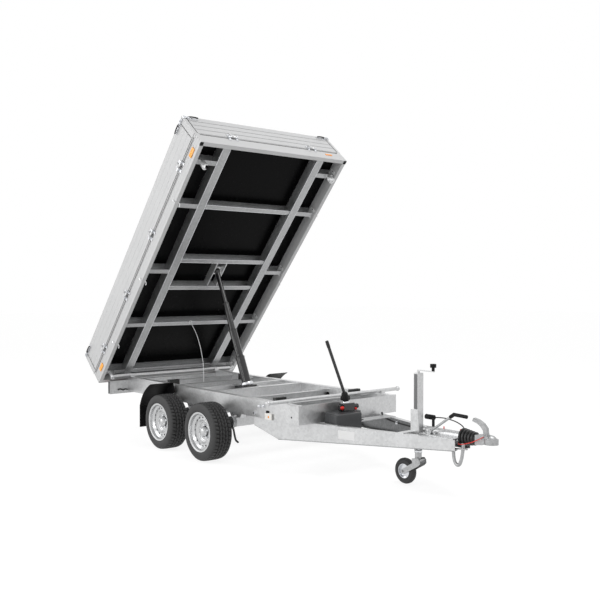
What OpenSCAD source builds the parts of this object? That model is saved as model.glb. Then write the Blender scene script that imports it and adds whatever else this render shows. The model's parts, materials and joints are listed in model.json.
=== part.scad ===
// Three-way tipper trailer: tandem-axle chassis with a tipped flat bed and drop boards.
// Units are millimetres. +X points to the coupling, +Y to the trailer's left, +Z up.
// Positions along X are given from the point midway between the two axles.

/* [Running gear] */
// Distance between the two axles
axle_spacing = 720; // [650:5:800]
// Distance between the tyre centres of one axle
track = 1530; // [1480:5:1560]
// Outer diameter of a road tyre
tyre_d = 525; // [480:1:540]
// Section width of a road tyre
tyre_w = 195; // [165:1:210]
// Diameter of the rim flange
flange_d = 360; // [330:1:390]
// Outward set of the wheel disc from the tyre's middle
disc_set = 30; // [10:1:45]
// Distance from the axle beam forward of the wheel centre
arm_trail = 165; // [140:1:200]
// Width of the square axle beam
axle_box = 80; // [60:1:90]
// Diameter of the stub axle
stub_d = 40; // [30:1:50]
// Diameter of the brake drum
drum_d = 230; // [180:1:250]
// Inner radius of the mudguard
guard_r = 375; // [340:1:400]
// Width of the mudguard
guard_w = 255; // [200:1:265]

/* [Chassis] */
// Gap between a road tyre and the side beam
frame_gap = 90.5; // [86:0.5:110]
// Height of the side beams
beam_h = 157; // [120:1:180]
// Flange width of the side beams
beam_flange = 60; // [40:1:80]
// Wall of the side beams
beam_t = 5; // [4:0.5:7]
// Height of the beams' underside above the ground
beam_z = 429; // [415:1:460]
// Set-back of the side beams from the bed's front edge
frame_inset = 55; // [45:1:70]
// Rear end of the side beams
frame_rear = 1495; // [1490:1:1500]
// Width of the rear board
rear_board_w = 1580; // [1400:2:1640]
// Height of the rear board
rear_board_h = 140; // [110:1:150]
// Depth of the rear board
rear_board_d = 45; // [36:1:48]
// Diameter of the two pivot tubes
pivot_tube_d = 34; // [30:1:38]
// Diameter of the pivot balls
ball_d = 46; // [42:1:50]
// Inset of the pivot balls from the bed's edge
ball_inset = 115; // [105:1:130]
// Rear pivot tube behind the axle midpoint
pivot_back = 1465; // [1440:1:1485]
// Inset of the front pivot from the bed's front edge
front_inset = 221; // [200:1:240]
// Height of the pivot tubes over the beams
saddle_h = 24; // [24:1:30]

/* [Drawbar] */
// Rear end of the drawbar arms
arm_root = 810; // [760:5:860]
// Front end of the drawbar arms
arm_tip = 2650; // [2600:5:2655]
// Half distance over the arms at their front end
arm_tip_half = 92; // [85:1:110]
// Full height of a drawbar arm
arm_h = 172; // [140:1:190]
// Height of a drawbar arm at its front end
arm_tip_h = 84; // [70:1:100]
// Flange width of a drawbar arm
arm_flange = 48; // [40:1:50]
// Wall of a drawbar arm
arm_t = 5; // [4:0.5:6]
// Front of the coupling's nose
nose_x = 2965; // [2960:1:3000]
// Height of the overrun tube's axis
hitch_z = 445; // [443:1:455]
// Diameter of the overrun tube
hitch_tube_d = 72; // [60:1:74]
// Diameter of the tow ball the coupling takes
tow_ball_d = 50; // [50:0.5:51]

/* [Jockey leg] */
// Position of the jockey leg along the drawbar
leg_x = 2248; // [2240:1:2255]
// Position of the jockey leg across the drawbar
leg_y = -45; // [-50:1:-40]
// Width of the leg column
leg_w = 64; // [56:1:70]
// Depth of the leg column
leg_d = 44; // [40:1:50]
// Top of the leg column
leg_top = 895; // [850:1:940]
// Diameter of the jockey wheel
jockey_d = 205; // [190:1:215]
// Width of the jockey wheel
jockey_w = 56; // [50:1:60]
// Trail of the jockey wheel
jockey_trail = 134; // [120:1:150]

/* [Hand pump] */
// Position of the pump ahead of the axle midpoint
pump_x = 1506; // [1504:1:1512]
// Width of the pump tank
tank_w = 343; // [320:1:345]
// Depth of the pump tank
tank_d = 110; // [90:1:112]
// Height of the pump tank
tank_h = 146; // [120:1:160]
// Length of the pump lever
lever_l = 500; // [400:5:520]
// Sideways lean of the pump lever in degrees
lever_lean = 24; // [15:1:28]

/* [Bed] */
// Length of the bed
bed_l = 3075; // [3050:5:3090]
// Width of the bed
bed_w = 1770; // [1764:2:1800]
// Height of the bed's long members
member_h = 100; // [92:1:110]
// Width of the bed's long members
member_w = 86; // [70:1:95]
// Distance between the middles of the long members
member_span = 1130; // [1110:2:1150]
// Wall of the bed's members
member_t = 6; // [5:0.5:8]
// Thickness of the bed floor
floor_t = 18; // [12:1:24]
// Thickness of the perimeter rail
rail_t = 40; // [34:1:45]
// Depth of the rail below the members' underside
rail_drop = 20; // [10:1:25]
// Height of the drop boards
board_h = 276; // [240:1:300]
// Thickness of the drop boards
board_t = 25; // [22:1:28]
// Length of a corner post along the bed
post_l = 62; // [56:1:70]
// Tip angle in the photographed position
tip_angle = 49; // [45:0.5:50]
// Distance of the rear pivot from the bed's rear edge
pivot_u = 136; // [130:1:150]
// Height of the members' underside above the pivot
pivot_drop = 55; // [52:1:60]

/* [Ram] */
// Position of the ram ball along the bed
ram_u = 1540; // [1530:1:1560]
// Height of the ram ball above the members' underside
ram_h = 41; // [38:1:44]
// Diameter of the ram ball
ram_ball_d = 60; // [52:1:62]
// Height of the gimbal axis above the ground
gimbal_z = 540; // [534:1:546]
// Diameter of the ram barrel
barrel_d = 114; // [110:1:118]
// Length of the ram barrel below the gimbal
barrel_below = 300; // [295:1:310]
// Diameter of the first stage
stage_d = 92; // [90:0.5:96]
// Step in diameter from one stage to the next
stage_step = 15; // [14:0.5:16]
// Length of a stage tube
stage_l = 345; // [340:1:350]

/* [Fits] */
// Gap between sliding and turning round faces
run_gap = 0.4; // [0.3:0.05:0.8]
// Gap around parts that move past others
move_gap = 6; // [5:0.5:8]
// Gap between a pivot ball and its socket
socket_gap = 0.5; // [0.4:0.1:1]

/* [Hidden] */
$fn = 48;
beam_top = beam_z + beam_h;
pivot_z = beam_top + saddle_h;
wheel_z = tyre_d / 2;
axle_z = wheel_z + 88;
wheel_y = track / 2;
frame_w = track - tyre_w - 2 * frame_gap;
frame_y = frame_w / 2;
ball_span = bed_w - 2 * ball_inset;
pivot_fore = bed_l - front_inset - pivot_u - pivot_back;
ca = cos(tip_angle);
sa = sin(tip_angle);
rail_top = member_h + floor_t + 2;
board_z = rail_top + move_gap;
board_top = board_z + board_h;
back_x = -pivot_back - pivot_u * ca - (board_top + pivot_drop) * sa;
frame_front = bed_l - pivot_u - pivot_back - frame_inset;
// The drawbar's own positions hold for this frame front; it moves along with the real one.
front_base = 1419;
draw_shift = frame_front - front_base;
// The frame's cross members; the front two and the marker lamps keep their place from the frame's front.
cross_x = [-1180, -780, frame_front / 3 - 3, 2 * frame_front / 3 + 34];
marker_x = frame_front - 389;
frame_mid = (nose_x + draw_shift + back_x) / 2;
hinge_out = 15;
hinge_r = 8;
hinge_pin_r = 4;
hinge_h = rail_top - 4;
bed_y = bed_w / 2;
hinge_u = [for (f = [0.122, 0.3694, 0.6218, 0.8813]) f * bed_l];
hinge_v = 0.5424 * bed_y;
hook_u = [for (f = [0.1886, 0.4715, 0.7837]) f * bed_l];
cross_u = [110, 0.26 * bed_l, ram_u - 229, ram_u + 131, 0.761 * bed_l];
wing_u = [pivot_u - 25, 0.26 * bed_l, ram_u - 9, 0.761 * bed_l, bed_l - front_inset - 25];
rail_y = bed_y - 5;
// The ram turns on an isosceles triangle, so its tilt follows half of the tip angle.
ball_du = ram_u - pivot_u;
ball_dh = ram_h + pivot_drop;
ball_r2 = ball_du * ball_du + ball_dh * ball_dh;
gimbal_x = sqrt(ball_r2 - pow(pivot_z - gimbal_z, 2)) - pivot_back;
ball_x = -pivot_back + ball_du * ca - ball_dh * sa;
ball_z = pivot_z + ball_du * sa + ball_dh * ca;
ram_tilt = atan2(ball_x - gimbal_x, ball_z - gimbal_z);
ram_len = sqrt(pow(ball_x - gimbal_x, 2) + pow(ball_z - gimbal_z, 2));
flat_len = sqrt(pow(ball_du - pivot_back - gimbal_x, 2) + pow(pivot_z + ball_dh - gimbal_z, 2));
stage_run = (ram_len - flat_len) / 4;
arm_ang = atan((frame_y - arm_tip_half) / (arm_tip - arm_root));
arm_len = (arm_tip - arm_root) / cos(arm_ang);
head_x = nose_x - 52;
head_z = hitch_z - 8;
tie_x = pump_x + 50;
tank_y = 8 - tank_w / 2;
collar_top = 50;
stage_lip = 10;
tank_top = beam_z + 6 + tank_h - 66;
tank_foot = tank_top - tank_h;
// Height of the coupling's sloping top at a position along X.
function head_top(x) = hitch_z + 42 + (x - 2850) * (head_z + 44 - hitch_z - 42) / (head_x - 2850);
tail_pin_u = board_t / 2 + 1;
tail_pin_h = board_top - 22;

steel = [0.72, 0.74, 0.76];
alu = [0.80, 0.82, 0.84];
black = [0.10, 0.10, 0.11];

module in_frame() translate([-frame_mid, 0, 0]) children();
module in_draw() in_frame() translate([draw_shift, 0, 0]) children();
module on_bed() in_frame() translate([-pivot_back, 0, pivot_z]) rotate([0, -tip_angle, 0])
    translate([-pivot_u, 0, pivot_drop]) children();
module on_ram() in_frame() translate([gimbal_x, 0, gimbal_z]) rotate([0, ram_tilt, 0]) children();
module both() { children(); mirror([0, 1, 0]) children(); }
module box(x, y, z) translate([x[0], y[0], z[0]]) cube([x[1] - x[0], y[1] - y[0], z[1] - z[0]]);
module rod_x(x, y, z, r) translate([x[0], y, z]) rotate([0, 90, 0]) cylinder(h = x[1] - x[0], r = r);
module rod_y(x, y, z, r) translate([x, y[0], z]) rotate([-90, 0, 0]) cylinder(h = y[1] - y[0], r = r);
module rod_z(x, y, z, r) translate([x, y, z[0]]) cylinder(h = z[1] - z[0], r = r);
// A flat outline in X and Z, carried across Y.
module slab_y(pts, y) translate([0, y[1], 0]) rotate([90, 0, 0])
    linear_extrude(height = y[1] - y[0]) polygon(pts);
// A flat outline in Y and Z, carried along X.
module slab_x(pts, x) translate([x[0], 0, 0]) rotate([90, 0, 90])
    linear_extrude(height = x[1] - x[0]) polygon(pts);
// A straight round bar between two points.
module bar(p, q, r) {
    d = q - p;
    len = norm(d);
    translate(p) rotate([0, acos(d[2] / len), atan2(d[1], d[0])]) cylinder(h = len, r = r);
}
// Channel outline: web along the height with two flanges, in a first and a second axis.
function channel(w, h, t) = [[0, 0], [w, 0], [w, t], [t, t], [t, h - t], [w, h - t], [w, h], [0, h]];

module side_beams() color(steel) in_frame() both() {
    slab_x([for (p = channel(beam_flange, beam_h, beam_t)) [p[0] - frame_y, p[1] + beam_z]],
        [-frame_rear, frame_front - 6]);
    gx = -axle_spacing / 2 - guard_r * cos(46);
    gz = wheel_z + guard_r * sin(46);
    box([gx - 26, gx + 26], [-frame_y - 28, -frame_y], [gz - 26, gz + 26]);
}

module cross_members() color(steel) in_frame() {
    in = frame_y - beam_t;
    for (x = cross_x)
        slab_y([for (p = channel(50, 100, 5)) [x + p[0], beam_z + 20 + p[1]]], [-in, in]);
    box([frame_front - 6, frame_front], [-frame_y, frame_y], [beam_z, beam_top + 2]);
    slab_y([[frame_front - 70, beam_z + beam_t], [frame_front - 6, beam_z + beam_t],
        [frame_front - 6, beam_z + beam_t + 6], [frame_front - 64, beam_z + beam_t + 6],
        [frame_front - 64, beam_top - 30], [frame_front - 70, beam_top - 30]], [-in, in]);
}

module rear_board() color(steel) in_frame() difference() {
    x = [-frame_rear - rear_board_d, -frame_rear];
    z = [beam_top - 36 - rear_board_h, beam_top - 36];
    box(x, [-rear_board_w / 2, rear_board_w / 2], z);
    box([x[0] + 5, x[1] - 5], [-rear_board_w / 2 - 1, rear_board_w / 2 + 1], [z[0] + 5, z[1] - 5]);
}

module rear_lamps() color([0.6, 0.05, 0.05]) in_frame() both()
    box([-frame_rear - rear_board_d - 32, -frame_rear - rear_board_d],
        [-rear_board_w / 2 + 30, -rear_board_w / 2 + 250],
        [beam_top - 36 - rear_board_h + 20, beam_top - 36 - 20]);

module pivot_tubes() color(steel) in_frame() for (x = [-pivot_back, pivot_fore]) {
    rod_y(x, [-ball_span / 2, ball_span / 2], pivot_z, pivot_tube_d / 2);
    both() {
        translate([x, -ball_span / 2, pivot_z]) sphere(r = ball_d / 2);
        box([x - 30, x + 30], [-frame_y + 4, -frame_y + 50], [beam_top, pivot_z]);
    }
}

module bed_buffers() color(black) in_frame() both() for (x = [cross_x[1], cross_x[3]])
    box([x + 5, x + 45], [-frame_y + 70, -frame_y + 190], [beam_z + 120, beam_z + 180]);

module axle_beams() color(steel) in_frame() for (x = [-axle_spacing / 2, axle_spacing / 2]) {
    c = x + arm_trail;
    h = axle_box / 2;
    difference() {
        box([c - h, c + h], [-frame_y - 18, frame_y + 18], [axle_z - h, axle_z + h]);
        box([c - h + 7, c + h - 7], [-frame_y - 40, frame_y + 40], [axle_z - h + 7, axle_z + h - 7]);
    }
    both() difference() {
        slab_y([[c - 70, axle_z + h], [c + 70, axle_z + h], [c + 95, beam_z], [c - 95, beam_z]],
            [-frame_y + 2, -frame_y + 58]);
        box([c - 60, c + 60], [-frame_y + 1, -frame_y + 50], [axle_z + h - 1, beam_z - 8]);
    }
}

module swing_arms() color([0.35, 0.36, 0.37]) in_frame() for (s = [-1, 1]) both() {
    x = s * axle_spacing / 2;
    y = [-frame_y - 54, -frame_y - 18];
    rod_y(x + arm_trail, y, axle_z, 52);
    rod_y(x, y, wheel_z, 40);
    slab_y([[x - 14, wheel_z + 37], [x + 14, wheel_z - 37], [x + arm_trail + 18, axle_z - 48],
        [x + arm_trail - 18, axle_z + 48]], y);
    rod_y(x, [-wheel_y - disc_set - 6, -frame_y - 30], wheel_z, stub_d / 2);
    rod_y(x, [-wheel_y + 24, -frame_y - 50], wheel_z, drum_d / 2);
}

// Mudguard and flap as one outline: out along the guard's outside, back along its inside.
module mudguards() color(black) in_frame() both() {
    x = -axle_spacing / 2;
    out = [for (a = [112 : 5 : 162]) [x + (guard_r + 5) * cos(a), wheel_z + (guard_r + 5) * sin(a)]];
    in = [for (a = [162 : -5 : 112]) [x + guard_r * cos(a), wheel_z + guard_r * sin(a)]];
    foot = wheel_z - 95;
    slab_y(concat(out, [[out[10][0], foot], [in[0][0], foot]], in), [-frame_y - 28 - guard_w, -frame_y - 28]);
    slab_y(concat([for (a = [112 : 5 : 162]) [x + (guard_r - 0.5) * cos(a), wheel_z + (guard_r - 0.5) * sin(a)]],
        [for (a = [162 : -5 : 112]) [x + (guard_r - 95) * cos(a), wheel_z + (guard_r - 95) * sin(a)]]),
        [-frame_y - 33, -frame_y - 28]);
}

module marker_lamps() color([0.9, 0.85, 0.8]) in_frame() both()
    rod_y(marker_x, [-frame_y - 14, -frame_y], beam_z + 30, 28);

module drawbar_arms() color(steel) in_draw() both()
    translate([arm_root, -frame_y, 0]) rotate([0, 0, arm_ang]) difference() {
        slab_y([[0, beam_z], [0, beam_z - 75], [260, beam_z - arm_h],
            [arm_len, beam_z - arm_tip_h], [arm_len, beam_z]], [0, arm_flange]);
        slab_y([[-1, beam_z - arm_t], [-1, beam_z - 70], [262, beam_z - arm_h + arm_t],
            [arm_len + 1, beam_z - arm_tip_h + arm_t],
            [arm_len + 1, beam_z - arm_t]], [arm_t, arm_flange + 1]);
    }

module drawbar_ties() color(steel) in_draw() {
    y1 = frame_y - (tie_x - 60 - arm_root) * tan(arm_ang) - arm_flange / cos(arm_ang) + 20;
    difference() {
        box([tie_x - 60, tie_x + 60], [-y1, y1], [beam_z, beam_z + 6]);
        box([tie_x - 61, pump_x + tank_d / 2 + 2], [tank_y - tank_w / 2 - 2, tank_y + tank_w / 2 + 2],
            [beam_z - 1, beam_z + 7]);
    }
    x2 = leg_x - leg_d / 2;
    y2 = frame_y - (x2 - arm_root) * tan(arm_ang) - 12;
    box([x2 - 60, x2], [-y2, y2], [beam_z, beam_z + 6]);
}

module overrun_housing() color(steel) in_draw() {
    rod_x([2304, 2650], 0, hitch_z, hitch_tube_d / 2);
    box([2304, arm_tip - 10], [-100, 100], [beam_z, beam_z + 8]);
    box([2350, 2430], [-60, 60], [beam_z + 4, hitch_z + 4]);
    rod_x([2635, 2655], 0, hitch_z, hitch_tube_d / 2 + 8);
}

module gaiter() color(black) in_draw() translate([2655, 0, hitch_z]) rotate([0, 90, 0])
    rotate_extrude() polygon([[30, 0], for (i = [0 : 4]) each [[66 - i * 4, i * 26 + 2],
        [66 - i * 4, i * 26 + 14], [52 - i * 3, i * 26 + 20]], [38, 134], [30, 134]]);

module coupling_head() color(steel) in_draw() {
    bx = head_x;
    bz = head_z;
    difference() {
        union() {
            rod_x([2655, bx - 60], 0, hitch_z, 29.5);
            slab_y([[2792, hitch_z - 40], [bx, bz - 14], [bx, bz + 44], [2850, hitch_z + 42],
                [2792, hitch_z + 36]], [-38, 38]);
            rod_z(bx, 0, [bz - 14, bz + 26], 52);
            translate([bx, 0, bz + 6]) sphere(r = 46);
        }
        rod_z(bx, 0, [bz - 60, bz - 14], 60);
        translate([bx, 0, bz]) sphere(r = tow_ball_d / 2 + 0.25);
        rod_z(bx, 0, [bz - 60, bz], tow_ball_d / 2 + 0.25);
    }
}

module hand_levers() color([0.82, 0.83, 0.85]) in_draw() {
    bar([2390, -70, beam_z + 26.3], [2588, -70, 590], 10);
    rod_y(2390, [-80, -60], beam_z + 26.3, 18);
    slab_y([[2850, head_top(2850)], [2886, head_top(2886)], [2878, 536], [2848, 568], [2806, 590], [2760, 600],
        [2748, 576], [2796, 562], [2826, 542], [2848, 516]], [-15, 15]);
}

module hand_grips() color(black) in_draw() {
    g = [2588, -70, 590] + 0.18 * ([2588, -70, 590] - [2390, -70, beam_z + 26.3]);
    bar([2588, -70, 590], g, 14);
    translate(g) sphere(r = 14.6);
    bar(g, g + [122, 0, -4], 14);
    rod_z(leg_x + 150, leg_y, [leg_top + 24, leg_top + 52], 12);
    rod_z(leg_x + 150, leg_y, [leg_top + 52, leg_top + 80], 24);
}

module jockey_column() color(steel) in_draw() {
    d = leg_d / 2;
    w = leg_w / 2;
    box([leg_x - d, leg_x + d], [leg_y - w, leg_y + w], [beam_z - 50, leg_top]);
    slab_y([[leg_x - d - 26, beam_z + 6], [leg_x + d + 20, beam_z + 6], [leg_x + d, beam_z + 180],
        [leg_x - d - 26, beam_z + 180]], [leg_y - w - 6, leg_y - w]);
    rod_z(leg_x, leg_y, [272, beam_z - 40], 19);
    rod_z(leg_x, leg_y, [leg_top, leg_top + 24], 10);
    box([leg_x, leg_x + 158], [leg_y - 9, leg_y + 9], [leg_top + 16, leg_top + 24]);
}

// A rounded rectangle outline from its half sizes and corner radius.
function soft(a, b, r) = [for (c = [[1, 1, 0], [-1, 1, 90], [-1, -1, 180], [1, -1, 270]]) for (t = [0 : 15 : 90])
    [c[0] * (a - r) + r * cos(c[2] + t), c[1] * (b - r) + r * sin(c[2] + t)]];

module pump_tank() color([0.22, 0.23, 0.25]) in_draw() translate([pump_x, tank_y, 0]) {
    translate([0, 0, tank_foot]) linear_extrude(height = tank_h) polygon(soft(tank_d / 2, tank_w / 2, 26));
    box([0, tank_d / 2 + 12], [-tank_w / 2 - 6, tank_w / 2 + 6], [beam_z + 6, beam_z + 12]);
    box([front_base - pump_x, -tank_d / 2 + 5], [-80, 80], [beam_z + 40, beam_z + 70]);
}

module pump_head() color(black) in_draw() {
    z = tank_top;
    y = tank_y + 36;
    box([pump_x - 32, pump_x + 32], [y - 50, y + 70], [z, z + 70]);
    rod_y(pump_x, [y - 80, y + 130], z + 34, 22);
    rod_z(pump_x, y, [z + 60, z + 120], 24);
    bar([pump_x, y, z + 110], [pump_x, y - lever_l * sin(lever_lean), z + 110 + lever_l * cos(lever_lean)], 13);
}

module plug_holder() color(black) in_draw() {
    box([2304, 2318], [50, 68], [beam_z + 8, beam_z + 100]);
    rod_x([2236, 2320], 59, beam_z + 112, 20);
}

module ram_carrier() color(steel) in_frame() {
    in = frame_y - beam_t;
    for (s = [-1, 1]) translate([gimbal_x, 0, 0]) {
        slab_y([for (p = channel(45, beam_h - 2 * beam_t, 6)) [s * (135 + p[0]), beam_z + beam_t + p[1]]], [-in, in]);
    }
}

// Ring on two fore and aft pins, with the cross bores that carry the ram's trunnion.
module gimbal_ring() color(black) in_frame() translate([gimbal_x, 0, gimbal_z]) {
    difference() {
        box([-105, 105], [-92, 92], [-32, 32]);
        box([-92, 92], [-76, 76], [-33, 33]);
        rod_y(0, [-120, 120], 0, 16 + run_gap);
    }
    rod_x([105, 135], 0, 0, 18);
    rod_x([-135, -105], 0, 0, 18);
}

module tube_path(pts, r) for (i = [0 : len(pts) - 2]) {
    bar(pts[i], pts[i + 1], r);
    if (i > 0) translate(pts[i]) sphere(r = r + 1);
}

module lead_cable() color(black) in_draw() tube_path([[2320.8, 59, beam_z + 112],
    [2430, 56, 554], [2560, 50, 530], [2640, 40, 500]], 5);

module breakaway_cable() color([0.8, 0.1, 0.1]) in_draw() {
    c = (hitch_tube_d / 2 + 8.4) * 0.7071;
    tube_path([[2645, -c, hitch_z - c], [2645, -54, hitch_z - 54], [2700, -62, 404], [2790, -66, 436],
        [2874, -41.4, head_z + 40]], 3);
}

module tip_rope() color([0.4, 0.4, 0.42]) in_frame() {
    u = cross_u[1] + 50 - pivot_u;
    p = [-pivot_back + u * ca - (pivot_drop + 4) * sa, 60, pivot_z + u * sa + (pivot_drop + 4) * ca];
    bar([cross_x[1], 60, beam_z + 124], p, 4);
}

module bed_rails() color(alu) on_bed() {
    z = [-rail_drop, rail_top];
    both() difference() {
        box([0, bed_l], [-rail_y, -rail_y + rail_t], z);
        for (h = [18, 52, 86]) box([-1, bed_l + 1], [-rail_y - 1, -rail_y + 4], [h, h + 6]);
    }
    for (u = [0, bed_l - rail_t]) box([u, u + rail_t], [-rail_y + rail_t - 1, rail_y - rail_t + 1], z);
}

module bed_long_members() color(steel) on_bed() both()
    slab_x([for (p = channel(member_w, member_h, member_t)) [p[0] - member_span / 2 - member_w / 2, p[1]]],
        [rail_t + 2, bed_l - rail_t - 2]);

module bed_cross_members() color(steel) on_bed() {
    in = member_span / 2 + member_w / 2 - member_w;
    out = rail_y - rail_t;
    for (u = cross_u)
        slab_y([for (p = channel(50, member_h - 12, 5)) [u + p[0], p[1] + 6]], [-in, in]);
    both() for (u = wing_u)
        slab_y([for (p = channel(50, member_h - 4, 5)) [u + p[0], p[1] + 2]],
            [-out, -member_span / 2 - member_w / 2]);
}

module bed_floor() color([0.12, 0.12, 0.13]) on_bed()
    box([rail_t + 1, bed_l - rail_t - 1], [-rail_y + rail_t + 1, rail_y - rail_t - 1], [member_h, member_h + floor_t]);

module corner_posts() color(alu) on_bed() both() difference() {
    for (u = [0, bed_l - post_l]) box([u, u + post_l], [-bed_y, -bed_y + rail_t], [rail_top, board_top]);
    rod_y(tail_pin_u, [-bed_y + rail_t - 24, -bed_y + rail_t + 1], tail_pin_h, 7 + run_gap);
}

module ram_seat() color(steel) on_bed() difference() {
    union() {
        both() box([ram_u - 179, ram_u + 131], [-62, -54], [14, member_h - 4]);
        box([ram_u - 50, ram_u + 50], [-55, 55], [ram_h + 8, member_h]);
    }
    translate([ram_u, 0, ram_h]) sphere(r = ram_ball_d / 2 + socket_gap);
}

module bed_sockets() color(steel) on_bed() both() for (u = [pivot_u, pivot_fore + pivot_back + pivot_u])
    translate([u, -ball_span / 2, 0]) difference() {
        rod_z(0, 0, [-pivot_drop - 22, 2], ball_d / 2 + socket_gap + 7);
        rod_z(0, 0, [-pivot_drop - 23, -pivot_drop], ball_d / 2 + socket_gap);
        translate([0, 0, -pivot_drop]) sphere(r = ball_d / 2 + socket_gap);
        rod_y(0, [0, 80], -pivot_drop, pivot_tube_d / 2 + 5);
        box([-pivot_tube_d / 2 - 5, pivot_tube_d / 2 + 5], [0, 80], [-pivot_drop - 30, -pivot_drop]);
    }

module bed_fittings() color(steel) on_bed() {
    both() {
        for (u = hook_u) translate([u, -rail_y, 0]) {
            rod_y(0, [-16, 0], 0, 7);
            rod_z(0, -12, [-2, 22], 6);
        }
        for (u = hinge_u) translate([u, -bed_y - hinge_out, hinge_h]) {
            translate([14, 0, 0]) rotate([0, 90, 0]) cylinder(h = 22, r = hinge_r);
            translate([-10, 0, 0]) rotate([0, 90, 0]) cylinder(h = 30, r = hinge_pin_r);
            box([14, 36], [0, hinge_out + 5], [-4, 4]);
        }
    }
    for (v = [-hinge_v, hinge_v]) translate([bed_l + hinge_out, v, hinge_h]) {
        translate([0, 14, 0]) rotate([-90, 0, 0]) cylinder(h = 22, r = hinge_r);
        translate([0, -10, 0]) rotate([-90, 0, 0]) cylinder(h = 30, r = hinge_pin_r);
        box([-hinge_out, 0], [14, 36], [-4, 4]);
    }
}

module reflectors() color([1, 0.55, 0.05]) on_bed() {
    both() for (u = [140, bed_l - 200]) box([u, u + 84], [-rail_y - 5, -rail_y], [30, 48]);
    box([bed_l, bed_l + 5], [0.72 * bed_y, 0.72 * bed_y + 84], [40, 60]);
}

// One drop board along U with two or more bottom hinge knuckles, outside at negative V.
module side_board() {
    difference() {
        box([post_l + 3, bed_l - post_l - 3], [-bed_y, -bed_y + board_t], [board_z, board_top]);
        for (i = [1 : 3]) box([0, bed_l], [-bed_y - 1, -bed_y + 4], [board_z + i * board_h / 4 - 4, board_z + i * board_h / 4 + 4]);
    }
    for (u = hinge_u) translate([u, -bed_y - hinge_out, hinge_h]) difference() {
        union() {
            translate([-10, 0, 0]) rotate([0, 90, 0]) cylinder(h = 22, r = hinge_r);
            box([-10, 12], [-4, 4], [0, board_z - hinge_h + 40]);
            box([-10, 12], [-4, hinge_out + 2], [board_z - hinge_h + 14, board_z - hinge_h + 40]);
        }
        translate([-11, 0, 0]) rotate([0, 90, 0]) cylinder(h = 24, r = hinge_pin_r + run_gap);
    }
}
module right_board() color(alu) on_bed() side_board();
module left_board() color(alu) on_bed() mirror([0, 1, 0]) side_board();

module front_board() color(alu) on_bed() {
    y = bed_y - rail_t - 3;
    difference() {
        box([bed_l - board_t, bed_l], [-y, y], [board_z, board_top]);
        for (i = [1 : 3]) box([bed_l - 4, bed_l + 1], [-y - 1, y + 1], [board_z + i * board_h / 4 - 4, board_z + i * board_h / 4 + 4]);
    }
    for (v = [-hinge_v, hinge_v]) translate([bed_l + hinge_out, v, hinge_h]) {
        difference() {
            union() {
                translate([0, -10, 0]) rotate([-90, 0, 0]) cylinder(h = 22, r = hinge_r);
                box([-4, 4], [-10, 12], [0, board_z - hinge_h + 40]);
                box([-hinge_out - 2, 4], [-10, 12], [board_z - hinge_h + 14, board_z - hinge_h + 40]);
            }
            translate([0, -11, 0]) rotate([-90, 0, 0]) cylinder(h = 24, r = hinge_pin_r + run_gap);
        }
    }
}

module tail_board() color(alu) on_bed() {
    y = bed_y - rail_t - 3;
    difference() {
        box([2, board_t], [-y, y], [board_z, board_top - 4]);
        for (i = [1 : 3]) box([1, 6], [-y - 1, y + 1], [board_z + i * board_h / 4 - 4, board_z + i * board_h / 4 + 4]);
    }
    both() rod_y(tail_pin_u, [-y - 20, -y + 1], tail_pin_h, 7);
}

// Road wheel about Y with its outside at positive Y, centre at the origin.
module tyre() rotate([-90, 0, 0]) rotate_extrude($fn = 96) {
    w = tyre_w / 2;
    r = tyre_d / 2;
    f = flange_d / 2 - 8;
    polygon([[f, -w + 14], [f + 18, -w + 4], [f + 40, -w], [r - 34, -w + 3], [r - 12, -w + 13], [r - 3, -w + 24],
        [r, -w + 44], [r, w - 44], [r - 3, w - 24], [r - 12, w - 13], [r - 34, w - 3], [f + 40, w], [f + 18, w - 4],
        [f, w - 14]]);
}
module rim() rotate([-90, 0, 0]) difference() {
    w = tyre_w / 2;
    f = flange_d / 2;
    rotate_extrude($fn = 96) polygon([[f - 22, -w + 6], [f, -w + 2], [f, -w + 5], [f - 8.4, -w + 9], [f - 8.4, w - 9],
        [f, w - 5], [f, w - 2], [f - 16, w - 6], [f - 22, w - 30], [f - 40, disc_set + 22], [f - 72, disc_set + 26],
        [f - 88, disc_set + 6], [f - 100, disc_set], [46, disc_set], [44, disc_set + 14], [36, disc_set + 30],
        [stub_d / 2 + run_gap, disc_set + 30], [stub_d / 2 + run_gap, disc_set - 6], [f - 96, disc_set - 6], [f - 84, disc_set],
        [f - 70, disc_set + 19], [f - 42, disc_set + 15], [f - 28, w - 36]]);
    for (i = [0 : 15]) rotate([0, 0, i * 22.5]) rod_z(f - 52, 0, [0, 90], 7);
}
module wheel_place(sx, sy) in_frame() translate([sx * axle_spacing / 2, sy * wheel_y, wheel_z])
    mirror([0, sy < 0 ? 1 : 0, 0]) children();
module tyre_front_left() color(black) wheel_place(1, 1) tyre();
module rim_front_left() color(alu) wheel_place(1, 1) rim();
module tyre_front_right() color(black) wheel_place(1, -1) tyre();
module rim_front_right() color(alu) wheel_place(1, -1) rim();
module tyre_rear_left() color(black) wheel_place(-1, 1) tyre();
module rim_rear_left() color(alu) wheel_place(-1, 1) rim();
module tyre_rear_right() color(black) wheel_place(-1, -1) tyre();
module rim_rear_right() color(alu) wheel_place(-1, -1) rim();

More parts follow.
